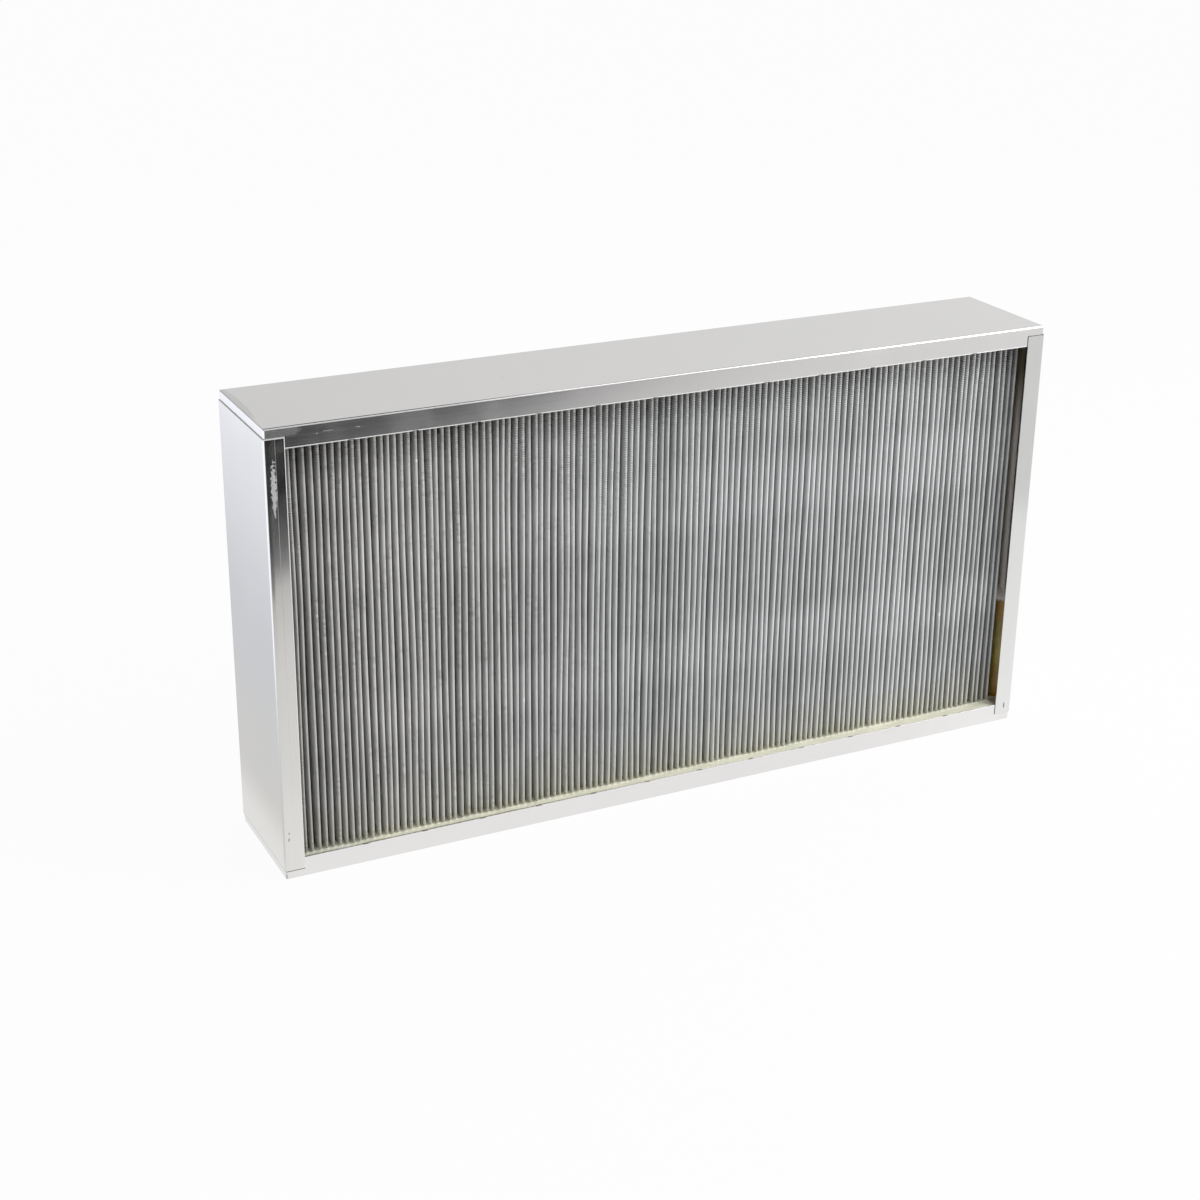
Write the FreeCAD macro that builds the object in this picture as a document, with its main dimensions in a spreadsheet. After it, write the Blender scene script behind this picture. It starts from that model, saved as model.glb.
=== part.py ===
import FreeCAD, Part
import math
import os
import Sketcher

# Panel air filter: one deeply pleated sheet of wire-faced filter paper, bedded in
# casting resin at its top and bottom ends, inside a frame of four folded channels.
# Millimetres. The panel stands on its bottom channel with its front towards -Y,
# its width along X, and the origin under the middle of its base.

# Driving sizes: name, value and what it measures
SIZES = (
    ("panel_width", 570.0, "over the outsides of the two side channels"),
    ("panel_height", 305.0, "over the top and bottom channels"),
    ("panel_depth", 90.0, "over the front and rear flanges of the side channels"),
    ("sheet", 0.6, "thickness of the frame's sheet metal"),
    ("bend_inside", 0.5, "inside radius of every fold in the frame"),
    ("rail_flange", 13.8, "height of the flanges and end walls of the top and bottom channels"),
    ("side_flange", 13.5, "width of the flanges of the side channels"),
    ("side_setback", 6.4, "how far the side channels stop short of the top and bottom edges"),
    ("first_nick", 55.6, "left side of the panel to the first shear nick"),
    ("nick_pitch", 41.45, "spacing of the shear nicks along the rail flanges"),
    ("nick_length", 4.0, "length of a shear nick"),
    ("nick_depth", 0.4, "depth of a shear nick into the flange's free edge"),
    ("pleat_pitch", 4.565, "spacing of neighbouring front folds"),
    ("media_thick", 0.9, "filter paper with its wire mesh"),
    ("front_setback", 7.5, "front flange plane to the front folds, at mid width"),
    ("rear_setback", 7.5, "rear flange plane to the rear folds, at mid width"),
    ("pack_skew", 0.53, "turn of the pack in its frame, in degrees, deeper at the right"),
    ("first_fold_gap", 2.3, "left channel's web to the start of the sheet"),
    ("last_fold_gap", 12.5, "least space between the last front fold and the right channel's web"),
    ("seal_front", 25.0, "front flange plane to the side seals"),
    ("seal_back", 25.0, "rear flange plane to the side seals"),
    ("lump_front", 15.0, "front flange plane to the thick lower run of the right seal"),
    ("lump_height", 97.0, "base of the panel to the top of that run"),
)

# Straight creases that stand in for the round of one fold
FOLD_CREASES = 6

doc = FreeCAD.newDocument("panel_air_filter")
sizes = doc.addObject("Spreadsheet::Sheet", "sizes")
for row, (alias, value, note) in enumerate(SIZES, start=1):
    sizes.set(f"A{row}", alias)
    sizes.set(f"B{row}", str(value))
    sizes.setAlias(f"B{row}", alias)
    sizes.set(f"C{row}", note)
doc.recompute()

# Sizes that follow from the driving ones, as expressions on the sheet
RAIL_LENGTH = "(sizes.panel_width - 2 * sizes.sheet)"
RAIL_DEPTH = "(sizes.panel_depth - 2 * sizes.sheet)"
OUTER_BEND = "(sizes.bend_inside + sizes.sheet)"
UPRIGHT = "placement(vector(0; 0; 0); rotation(vector(0; 0; 1); 0))"
UPSIDE_DOWN = "placement(vector(0; 0; sizes.panel_height); rotation(vector(1; 0; 0); 180))"
TURNED_ROUND = "placement(vector(0; 0; 0); rotation(vector(0; 0; 1); 180))"

# Shear nicks that fit between the first one and its mirror image at the far end
NICK_COUNT = "(floor((sizes.panel_width - 2 * sizes.first_nick) / sizes.nick_pitch) + 1)"

# The pack's own frame: the middle of its depth, turned by the skew
PACK_MIDDLE_Y = "((sizes.front_setback - sizes.rear_setback) / 2)"
PACK_FRAME = f"placement(vector(0; {PACK_MIDDLE_Y}; 0); rotation(vector(0; 0; 1); sizes.pack_skew))"

# Whole pleats that fit between the two side channels
PACK_ROOM = "(sizes.panel_width - 2 * sizes.sheet - sizes.first_fold_gap - sizes.last_fold_gap)"
PLEAT_COUNT = f"floor({PACK_ROOM} / sizes.pleat_pitch)"

# A leg of the sheet leans so that it touches the round of the fold at its far end:
# the slope between the two inner creases, less the angle that the thickness takes up
PACK_DEPTH = "(sizes.panel_depth - sizes.front_setback - sizes.rear_setback)"
LEG_RUN = f"({PACK_DEPTH} - 2 * sizes.media_thick)"
LEG_SPAN = f"sqrt((sizes.pleat_pitch / 2) ^ 2 + {LEG_RUN} ^ 2)"
LEG_LEAN = f"(atan(sizes.pleat_pitch / 2 / {LEG_RUN}) - asin(sizes.media_thick / {LEG_SPAN}))"
START_X = "(sizes.sheet + sizes.first_fold_gap - sizes.panel_width / 2)"
END_X = f"({START_X} + ({PLEAT_COUNT} + 0.5) * sizes.pleat_pitch)"

# The rounds over and under the right seal's ledge, which take up almost all of its depth
LEDGE_ROUND = "(0.49 * (sizes.seal_front - sizes.lump_front))"


def value_of(expression):
    """The number that an expression on the sheet comes to, in millimetres or degrees."""
    result = sizes.evalExpression(expression)
    return float(getattr(result, "Value", result))


def new_body(label, placement=UPRIGHT):
    """An empty body with its label and its placement."""
    body = doc.addObject("PartDesign::Body", label)
    body.Label = label
    body.setExpression("Placement", placement)
    return body


def new_sketch(body, name, role, height="0"):
    """A sketch on one of the body's origin planes, raised by an expression."""
    sketch = body.newObject("Sketcher::SketchObject", name)
    plane = next(item for item in body.Origin.OriginFeatures if item.Role == role)
    sketch.AttachmentSupport = (plane, [""])
    sketch.MapMode = "FlatFace"
    sketch.setExpression("AttachmentOffset.Base.z", height)
    return sketch


def draw_rectangle(sketch, left, low, width, tall):
    """A rectangle set by four expressions: its lower left corner and its two sides."""
    corners = [FreeCAD.Vector(x, y, 0) for x, y in ((1, 1), (9, 1), (9, 5), (1, 5))]
    for index in range(4):
        sketch.addGeometry(Part.LineSegment(corners[index], corners[(index + 1) % 4]), False)
    for index in range(4):
        sketch.addConstraint(Sketcher.Constraint("Coincident", index, 2, (index + 1) % 4, 1))
    for line, direction in ((0, "Horizontal"), (1, "Vertical"), (2, "Horizontal"), (3, "Vertical")):
        sketch.addConstraint(Sketcher.Constraint(direction, line))
    for name, kind, points, expression in (
        ("width", "DistanceX", (0, 1, 0, 2), width),
        ("tall", "DistanceY", (1, 1, 1, 2), tall),
        ("left", "DistanceX", (-1, 1, 0, 1), left),
        ("low", "DistanceY", (-1, 1, 0, 1), low),
    ):
        number = sketch.addConstraint(Sketcher.Constraint(kind, *points, 1.0))
        sketch.renameConstraint(number, name)
        sketch.setExpression(f"Constraints.{name}", expression)


def pad(body, sketch, name, length):
    """A pad of the sketch by an expression, along the sketch's normal."""
    feature = body.newObject("PartDesign::Pad", name)
    feature.Profile = sketch
    feature.setExpression("Length", length)
    doc.recompute()
    return feature


def edges_of(feature, wanted):
    """Names of the feature's edges for which the test on their end points holds."""
    names = []
    for number, edge in enumerate(feature.Shape.Edges, start=1):
        if wanted([vertex.Point for vertex in edge.Vertexes]):
            names.append(f"Edge{number}")
    return names


def faces_of(feature, wanted):
    """Names of the feature's faces for which the test on their box holds."""
    return [
        f"Face{number}"
        for number, face in enumerate(feature.Shape.Faces, start=1)
        if wanted(face.BoundBox)
    ]


def round_edges(body, feature, name, radius, wanted):
    """Fillets on the chosen edges, their radius an expression."""
    fillet = body.newObject("PartDesign::Fillet", name)
    fillet.Base = (feature, edges_of(feature, wanted))
    fillet.setExpression("Radius", radius)
    doc.recompute()
    return fillet


def fold_sheet(body, feature, name, open_faces):
    """Turns a solid block into sheet metal that keeps its outside, open at the given faces."""
    thickness = body.newObject("PartDesign::Thickness", name)
    thickness.Base = (feature, open_faces)
    thickness.Reversed = True
    thickness.setExpression("Value", "sizes.sheet")
    doc.recompute()
    return thickness


def same(first, second):
    """Whether two lengths agree to a thousandth of a millimetre."""
    return abs(first - second) < 1e-3


def make_rail(label, placement):
    """A top or bottom channel: web down, flanges and end walls up, closed at its folds."""
    body = new_body(label, placement)
    outline = new_sketch(body, label + "_outline", "XY_Plane")
    draw_rectangle(outline, f"-{RAIL_LENGTH} / 2", f"-{RAIL_DEPTH} / 2", RAIL_LENGTH, RAIL_DEPTH)
    block = pad(body, outline, label + "_block", "sizes.rail_flange")
    top = value_of("sizes.rail_flange")
    folds = round_edges(
        body, block, label + "_folds", OUTER_BEND, lambda ends: not all(same(end.z, top) for end in ends)
    )
    open_faces = faces_of(folds, lambda box: same(box.ZMin, top))
    folded = fold_sheet(body, folds, label + "_sheet", open_faces)

    # Shear nicks in the free edges of both flanges, evenly spaced
    nick = new_sketch(body, label + "_nick", "XZ_Plane")
    draw_rectangle(
        nick,
        "sizes.first_nick - sizes.nick_length / 2 - sizes.panel_width / 2",
        "sizes.rail_flange - sizes.nick_depth",
        "sizes.nick_length",
        "2 * sizes.nick_depth",
    )
    cut = body.newObject("PartDesign::Pocket", label + "_nick_cut")
    cut.Profile = nick
    cut.Midplane = True
    cut.Type = "ThroughAll"
    doc.recompute()
    row = body.newObject("PartDesign::LinearPattern", label + "_nicks")
    row.Originals = [cut]
    x_axis = next(item for item in body.Origin.OriginFeatures if item.Role == "X_Axis")
    row.Direction = (x_axis, [""])
    row.setExpression("Length", f"({NICK_COUNT} - 1) * sizes.nick_pitch")
    row.setExpression("Occurrences", NICK_COUNT)
    body.Tip = row
    doc.recompute()
    check_cut(folded, row)
    return body


def check_cut(before, after):
    """Stops if a cut that should take material away has taken none."""
    if after.Shape.Volume >= before.Shape.Volume:
        raise RuntimeError(f"{after.Name} removed nothing")


def make_resin(label, placement):
    """The casting that fills a rail to the free edge of its flanges and takes up its folds."""
    body = new_body(label, placement)
    length = f"({RAIL_LENGTH} - 2 * sizes.sheet)"
    depth = f"({RAIL_DEPTH} - 2 * sizes.sheet)"
    outline = new_sketch(body, label + "_outline", "XY_Plane", "sizes.sheet")
    draw_rectangle(outline, f"-{length} / 2", f"-{depth} / 2", length, depth)
    block = pad(body, outline, label + "_block", "sizes.rail_flange - sizes.sheet")
    top = value_of("sizes.rail_flange")
    round_edges(
        body,
        block,
        label + "_folds",
        "sizes.bend_inside",
        lambda ends: not all(same(end.z, top) for end in ends),
    )
    return body


def make_side_channel(label, placement):
    """A side channel: a web with a front and a rear flange, cut square at both ends."""
    body = new_body(label, placement)
    outline = new_sketch(body, label + "_outline", "XY_Plane", "sizes.side_setback")
    draw_rectangle(
        outline,
        "-sizes.panel_width / 2",
        "-sizes.panel_depth / 2",
        "sizes.side_flange",
        "sizes.panel_depth",
    )
    height = "sizes.panel_height - 2 * sizes.side_setback"
    block = pad(body, outline, label + "_block", height)
    outside = -value_of("sizes.panel_width") / 2
    inside = outside + value_of("sizes.side_flange")
    folds = round_edges(
        body,
        block,
        label + "_folds",
        OUTER_BEND,
        lambda ends: all(same(end.x, outside) for end in ends) and not same(ends[0].z, ends[1].z),
    )
    open_faces = faces_of(folds, lambda box: same(box.XMin, inside) or same(box.ZMin, box.ZMax))
    fold_sheet(body, folds, label + "_sheet", open_faces)
    return body


def fold_points(crease, side, lean, thick):
    """The outer round of one fold, as points on a circle of the sheet's thickness.

    The circle is centred on the fold's inner crease. The round starts where one leg
    touches it, passes through the fold's crest and ends where the other leg does.
    side is -1 for a front fold and 1 for a rear one.
    """
    turn = math.pi - 2 * lean
    start = lean if side > 0 else lean + math.pi
    points = []
    for step in range(FOLD_CREASES + 1):
        angle = start + turn * step / FOLD_CREASES
        points.append(crease + thick * FreeCAD.Vector(math.cos(angle), math.sin(angle), 0))
    return points


def make_media():
    """The pleated sheet: one closed zigzag outline, raised from resin to resin."""
    run = value_of(LEG_RUN)
    half_pitch = value_of("sizes.pleat_pitch") / 2
    thick = value_of("sizes.media_thick")
    lean = math.radians(value_of(LEG_LEAN))
    start_x = value_of(START_X)
    count = int(value_of(PLEAT_COUNT))

    # Inner creases of the folds, front and rear in turn, left to right
    creases = []
    for number in range(2 * count + 2):
        side = 1 if number % 2 else -1
        creases.append(FreeCAD.Vector(start_x + number * half_pitch, side * run / 2, 0))

    # Seen from above: a front fold is round on the front side and sharp on the rear side,
    # and a rear fold the other way. The sheet's two ends are cut square across a leg.
    across = thick * FreeCAD.Vector(math.cos(lean), -math.sin(lean), 0)
    front_side = [creases[0] + across]
    rear_side = [creases[0]]
    for number in range(1, 2 * count + 1):
        if number % 2:
            front_side.append(creases[number])
            rear_side.extend(reversed(fold_points(creases[number], 1, lean, thick)))
        else:
            front_side.extend(fold_points(creases[number], -1, lean, thick))
            rear_side.append(creases[number])
    front_side.append(creases[-1])
    rear_side.append(creases[-1] - across)

    outline = front_side + rear_side[::-1]
    face = Part.Face(Part.makePolygon(outline + outline[:1]))
    height = value_of("sizes.panel_height - 2 * sizes.rail_flange")
    media = doc.addObject("Part::Feature", "pleated_media")
    media.Label = "pleated_media"
    media.Shape = face.extrude(FreeCAD.Vector(0, 0, height))
    raised = "placement(vector(0; 0; sizes.rail_flange); rotation(vector(0; 0; 1); 0))"
    media.setExpression("Placement", f"{PACK_FRAME} * {raised}")
    doc.recompute()
    return media


def trim_to_leg(label, block, crease_x, crease_y, side):
    """Cuts the pack's side of a seal away along the outer face of the leg that it meets.

    The cutting box has one long face on that leg. side is -1 where the pack lies
    towards -X of the leg and 1 where it lies towards +X.
    """
    tool = doc.addObject("Part::Box", label + "_pack_side")
    tool.setExpression("Length", "sizes.panel_width")
    tool.setExpression("Width", "4 * sizes.panel_depth")
    tool.setExpression("Height", "sizes.panel_height")
    leg = f"placement(vector({crease_x}; {crease_y}; 0); rotation(vector(0; 0; 1); -{LEG_LEAN}))"
    shift = "-sizes.panel_width" if side < 0 else "0"
    centred = f"placement(vector({shift}; -2 * sizes.panel_depth; 0); rotation(vector(0; 0; 1); 0))"
    tool.setExpression("Placement", f"{PACK_FRAME} * {leg} * {centred}")
    trimmed = doc.addObject("Part::Cut", label)
    trimmed.Label = label
    trimmed.Base = block
    trimmed.Tool = tool
    doc.recompute()
    check_cut(block, trimmed)
    return trimmed


def seal_block(label, left, front):
    """A block of adhesive from one resin casting to the other, half the panel wide."""
    body = new_body(label)
    outline = new_sketch(body, label + "_outline", "XY_Plane", "sizes.rail_flange")
    width = "sizes.panel_width / 2 - sizes.sheet"
    depth = f"sizes.panel_depth - {front} - sizes.seal_back"
    draw_rectangle(outline, left, f"{front} - sizes.panel_depth / 2", width, depth)
    pad(body, outline, label + "_pad", "sizes.panel_height - 2 * sizes.rail_flange")
    return body


def make_left_seal():
    """The adhesive between the left channel's web and the sheet's first leg."""
    block = seal_block("left_seal_block", "sizes.sheet - sizes.panel_width / 2", "sizes.seal_front")
    return trim_to_leg("left_side_seal", block, START_X, f"-{LEG_RUN} / 2", 1)


def make_right_seal():
    """The adhesive between the sheet's last leg and the right channel's web.

    Its lower run stands further forward and ends in a ledge, rounded over and under.
    """
    body = seal_block("right_seal_block", "0", "sizes.lump_front")
    step = new_sketch(body, "right_seal_step", "YZ_Plane")
    draw_rectangle(
        step,
        "-sizes.panel_depth / 2",
        "sizes.lump_height",
        "sizes.seal_front",
        "sizes.panel_height",
    )
    whole = body.Tip
    cut = body.newObject("PartDesign::Pocket", "right_seal_step_cut")
    cut.Profile = step
    cut.Midplane = True
    cut.Type = "ThroughAll"
    doc.recompute()
    check_cut(whole, cut)
    ledge = value_of("sizes.lump_height")
    round_edges(
        body,
        cut,
        "right_seal_ledge",
        LEDGE_ROUND,
        lambda ends: all(same(end.z, ledge) for end in ends) and same(ends[0].y, ends[1].y),
    )
    return trim_to_leg("right_side_seal", body, END_X, f"{LEG_RUN} / 2", -1)


def check_and_write(parts):
    """Checks every object and every sub-part's shape, then writes one STEP file for each."""
    doc.recompute()
    for item in doc.Objects:
        if "Invalid" in item.State or "Error" in item.State:
            raise RuntimeError(f"{item.Name} is {item.State}")
    for part in parts:
        if part.Shape.isNull() or not part.Shape.isValid():
            raise RuntimeError(f"{part.Label} has no valid shape")
        if len(part.Shape.Solids) != 1:
            raise RuntimeError(f"{part.Label} has {len(part.Shape.Solids)} solids")
    os.makedirs("parts", exist_ok=True)
    for part in parts:
        part.Shape.exportStep(os.path.join("parts", part.Label + ".step"))
        box = part.Shape.BoundBox
        print(
            f"{part.Label}: {part.Shape.Volume / 1000:.2f} cm3,"
            f" x {box.XMin:.2f} to {box.XMax:.2f},"
            f" y {box.YMin:.2f} to {box.YMax:.2f},"
            f" z {box.ZMin:.2f} to {box.ZMax:.2f}"
        )


check_and_write(
    [
        make_rail("bottom_channel", UPRIGHT),
        make_rail("top_channel", UPSIDE_DOWN),
        make_side_channel("left_channel", UPRIGHT),
        make_side_channel("right_channel", TURNED_ROUND),
        make_resin("bottom_resin", UPRIGHT),
        make_resin("top_resin", UPSIDE_DOWN),
        make_media(),
        make_left_seal(),
        make_right_seal(),
    ]
)
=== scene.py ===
"""A flat panel air filter: a pleated pack under wire mesh, bedded in resin inside a folded metal frame.

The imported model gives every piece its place. The four channels of the frame keep their solids
and get a rolled metal finish. The pleated pack, the resin castings and the side seals are worked
out again here as surfaces with the unevenness of the real ones. Lengths in the classes are in
millimetres, apart from those of the set, and every mesh is written in metres.
"""
import logging
import math
from dataclasses import dataclass
from enum import Enum
from functools import reduce
from operator import or_

import bpy
import numpy as np
from mathutils import Matrix, Vector


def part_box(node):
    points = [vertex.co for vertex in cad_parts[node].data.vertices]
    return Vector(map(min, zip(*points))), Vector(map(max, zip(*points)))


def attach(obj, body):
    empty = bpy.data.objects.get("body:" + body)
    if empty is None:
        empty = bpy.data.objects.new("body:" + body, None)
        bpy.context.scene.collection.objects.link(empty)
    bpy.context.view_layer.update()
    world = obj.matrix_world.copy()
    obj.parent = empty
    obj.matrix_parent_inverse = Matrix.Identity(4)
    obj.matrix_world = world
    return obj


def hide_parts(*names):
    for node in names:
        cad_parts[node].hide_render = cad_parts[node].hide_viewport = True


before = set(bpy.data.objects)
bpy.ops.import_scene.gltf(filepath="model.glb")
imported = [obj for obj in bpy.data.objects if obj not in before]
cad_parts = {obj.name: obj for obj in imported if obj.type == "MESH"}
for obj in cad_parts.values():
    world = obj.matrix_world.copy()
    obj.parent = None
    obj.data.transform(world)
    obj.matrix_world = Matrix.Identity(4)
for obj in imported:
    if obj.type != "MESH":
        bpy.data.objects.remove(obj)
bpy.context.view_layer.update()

MM = 0.001
BODY = "root"
Colour = tuple[float, float, float]
Triple = tuple[float, float, float]
BLACK: Colour = (0.0, 0.0, 0.0)
WHITE: Colour = (1.0, 1.0, 1.0)
log = logging.getLogger("panel_filter")


class Signal:
    """One output of a material's nodes. Python's operators on it add Math nodes."""

    def __init__(self, nodes: "Nodes", socket: bpy.types.NodeSocket) -> None:
        """Keeps the socket and the tree that it belongs to."""
        self.nodes = nodes
        self.socket = socket

    def __add__(self, other: "Signal | float") -> "Signal":
        """The sum of the two."""
        return self.nodes.math("ADD", self, other)

    __radd__ = __add__

    def __sub__(self, other: "Signal | float") -> "Signal":
        """This less the other."""
        return self.nodes.math("SUBTRACT", self, other)

    def __rsub__(self, other: float) -> "Signal":
        """The other less this."""
        return self.nodes.math("SUBTRACT", other, self)

    def __mul__(self, other: "Signal | float") -> "Signal":
        """The product of the two."""
        return self.nodes.math("MULTIPLY", self, other)

    __rmul__ = __mul__

    def __truediv__(self, other: "Signal | float") -> "Signal":
        """This over the other."""
        return self.nodes.math("DIVIDE", self, other)

    def __abs__(self) -> "Signal":
        """The value without its sign."""
        return self.nodes.math("ABSOLUTE", self)

    def __and__(self, other: "Signal") -> "Signal":
        """Where both masks hold: the lesser of the two."""
        return self.nodes.math("MINIMUM", self, other)

    def __or__(self, other: "Signal") -> "Signal":
        """Where either mask holds: the greater of the two."""
        return self.nodes.math("MAXIMUM", self, other)


@dataclass(frozen=True)
class Step:
    """A smooth change along a way: where it begins, where it ends and how much it adds."""

    begin: float
    end: float
    gain: float

    def on(self, way: Signal) -> Signal:
        """What it adds at each point of the way."""
        return way.nodes.rise(way, self.begin, self.end) * self.gain


@dataclass(frozen=True)
class Stretch:
    """A stretch of a way that differs: its middle, its half width, its fade and how much it adds."""

    middle: float
    half: float
    fade: float
    gain: float

    def on(self, way: Signal) -> Signal:
        """What it adds at each point of the way."""
        return way.nodes.line(way, self.middle, self.half, self.fade) * self.gain


def changed(level: Signal | float, way: Signal, *changes: Step | Stretch) -> Signal | float:
    """A level with what each change adds along a way.

    Args:
        level: the level without changes.
        way: the distance that they follow.
        changes: the changes.

    Returns:
        The sum.
    """
    for change in changes:
        level = level + change.on(way)
    return level


class Nodes:
    """A node tree and the one way in which its nodes are made."""

    def __init__(self, tree: bpy.types.NodeTree) -> None:
        """Keeps the tree of a material or of the world, and empties it."""
        self.tree = tree
        self.tree.nodes.clear()

    def add(self, kind: str, settings: dict | None = None, values: dict | None = None) -> bpy.types.Node:
        """Makes a node, sets it up, then fills its sockets.

        Args:
            kind: the node's type.
            settings: its properties.
            values: numbers, colours or signals, by the socket's name or number.

        Returns:
            The node.
        """
        made = self.tree.nodes.new(kind)
        for name, setting in (settings or {}).items():
            setattr(made, name, setting)
        for key, value in (values or {}).items():
            if isinstance(value, Signal):
                self.tree.links.new(value.socket, made.inputs[key])
            elif isinstance(value, tuple) and made.inputs[key].type == "RGBA":
                made.inputs[key].default_value = (*value, 1.0)
            else:
                made.inputs[key].default_value = value
        return made

    def out(self, node: bpy.types.Node, socket: str | int = 0) -> Signal:
        """An output of a node as a signal."""
        return Signal(self, node.outputs[socket])

    def get(
        self, kind: str, settings: dict | None = None, values: dict | None = None, socket: str | int = 0
    ) -> Signal:
        """Makes a node as add does and gives one of its outputs."""
        return self.out(self.add(kind, settings, values), socket)

    def math(self, operation: str, *values: Signal | float) -> Signal:
        """A Math node on one or two values."""
        return self.get("ShaderNodeMath", {"operation": operation}, dict(enumerate(values)))

    def place(self, stretch: Triple = (1.0, 1.0, 1.0), shift: Triple = (0.0, 0.0, 0.0)) -> Signal:
        """The point on the panel in millimetres, as a vector.

        Args:
            stretch: factors along X, Y and Z, under 1 to draw a pattern out.
            shift: what is added after that, to show another stretch of a pattern.

        Returns:
            The vector.
        """
        coordinate = self.get("ShaderNodeTexCoord", socket="Object")
        scale = tuple(factor / MM for factor in stretch)
        mapping = {"Vector": coordinate, "Scale": scale, "Location": shift}
        return self.get("ShaderNodeMapping", {"vector_type": "POINT"}, mapping)

    def axes(self) -> tuple[Signal, Signal, Signal]:
        """X, Y and Z of the point on the panel, in millimetres."""
        parts = self.add("ShaderNodeSeparateXYZ", values={"Vector": self.place()})
        return self.out(parts, "X"), self.out(parts, "Y"), self.out(parts, "Z")

    def noise(self, size: Triple, seed: float = 0.0, detail: float = 2.0) -> Signal:
        """Soft noise from 0 to 1.

        Args:
            size: how long its patches are along X, Y and Z, in millimetres.
            seed: another number shows another stretch of the noise.
            detail: how many finer layers lie on it.

        Returns:
            The noise.
        """
        vector = self.place(tuple(1.0 / length for length in size), (seed, 1.7 * seed, 0.6 * seed))
        values = {"Vector": vector, "Scale": 1.0, "Detail": detail, "Roughness": 0.55}
        return self.get("ShaderNodeTexNoise", values=values)

    def rise(self, value: Signal, low: float, high: float) -> Signal:
        """A smooth step: 0 where the value is low, 1 where it is high. low may be the greater."""
        settings = {"interpolation_type": "SMOOTHSTEP", "clamp": True}
        return self.get("ShaderNodeMapRange", settings, {"Value": value, "From Min": low, "From Max": high})

    def line(self, value: Signal, centre: float, half: float, fade: float) -> Signal:
        """1 within half a width of the centre, fading to 0 over the length given last."""
        return self.rise(abs(value - centre), half + fade, half)

    def blend(self, share: Signal | float, first: Signal | Colour, second: Signal | Colour) -> Signal:
        """A colour between two, by a share from 0 to 1."""
        settings = {"data_type": "RGBA", "clamp_factor": True}
        return self.get("ShaderNodeMix", settings, {"Factor": share, "A": first, "B": second}, "Result")

    def coats(self, base: Signal | Colour, *coats: tuple[Signal | float, Signal | Colour]) -> Signal:
        """Lays colours over a base in turn.

        Args:
            base: the first colour.
            coats: the share and the colour of each that follows.

        Returns:
            The colour that they make.
        """
        for share, colour in coats:
            base = self.blend(share, base, colour)
        return base

    def bump(self, height: Signal, depth: float, normal: Signal | None = None) -> Signal:
        """A normal that a height map turns.

        Args:
            height: the map, from 0 to 1.
            depth: what 1 stands for, in millimetres.
            normal: the normal to start from, or the surface's own.

        Returns:
            The normal.
        """
        values = {"Height": height, "Strength": 1.0, "Distance": depth * MM}
        if normal is not None:
            values["Normal"] = normal
        return self.get("ShaderNodeBump", values=values)


class Material(Nodes):
    """A material and its one surface."""

    def __init__(self, name: str) -> None:
        """Makes an empty material of that name."""
        self.material = bpy.data.materials.new(name)
        self.material.use_nodes = True
        super().__init__(self.material.node_tree)

    def end(self, shader: Signal) -> bpy.types.Material:
        """Makes a shader the material's surface, and gives the material."""
        self.add("ShaderNodeOutputMaterial", values={"Surface": shader})
        return self.material

    def surface(self, **values: Signal | Colour | float) -> bpy.types.Material:
        """Ends the material with a Principled surface.

        Args:
            values: what the Principled node's sockets get, with _ for a space in their names.

        Returns:
            The material.
        """
        named = {name.replace("_", " "): value for name, value in values.items()}
        return self.end(self.get("ShaderNodeBsdfPrincipled", values=named))


def new_piece(
    name: str, points: np.ndarray, quads: np.ndarray, triangles: np.ndarray | None = None
) -> bpy.types.Object:
    """Puts a surface into the scene.

    Args:
        name: the object's name.
        points: its points in millimetres, one row each.
        quads: the four points of each square face, counter-clockwise from outside.
        triangles: the three points of each other face.

    Returns:
        The object, at the origin and smooth shaded.
    """
    extra = np.zeros((0, 3), int) if triangles is None else triangles
    corners = np.concatenate([quads.ravel(), extra.ravel()]).astype(np.int32)
    counts = np.concatenate([np.full(len(quads), 4), np.full(len(extra), 3)]).astype(np.int32)
    starts = np.concatenate([[0], np.cumsum(counts)[:-1]]).astype(np.int32)
    mesh = bpy.data.meshes.new(name)
    mesh.vertices.add(len(points))
    mesh.vertices.foreach_set("co", (points * MM).astype(np.float32).ravel())
    mesh.loops.add(len(corners))
    mesh.loops.foreach_set("vertex_index", corners)
    mesh.polygons.add(len(counts))
    mesh.polygons.foreach_set("loop_start", starts)
    mesh.polygons.foreach_set("use_smooth", np.ones(len(counts), bool))
    mesh.update(calc_edges=True)
    mesh.validate()
    made = bpy.data.objects.new(name, mesh)
    bpy.context.scene.collection.objects.link(made)
    return made


def add_values(piece: bpy.types.Object, name: str, values: np.ndarray) -> None:
    """Keeps one number for each point of a piece, for its material to read."""
    attribute = piece.data.attributes.new(name, "FLOAT", "POINT")
    attribute.data.foreach_set("value", values.astype(np.float32).ravel())


def tube_faces(rings: int, around: int) -> np.ndarray:
    """The square faces of a closed tube: ring after ring, each a closed loop of points.

    Args:
        rings: how many loops there are.
        around: how many points each has.

    Returns:
        The faces. They point outwards where a loop runs counter-clockwise about the way that
        the rings follow each other.
    """
    ring, step = np.meshgrid(np.arange(rings - 1), np.arange(around), indexing="ij")
    here = ring * around + step
    beside = ring * around + (step + 1) % around
    return np.stack([here, beside, beside + around, here + around], -1).reshape(-1, 4)


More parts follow.
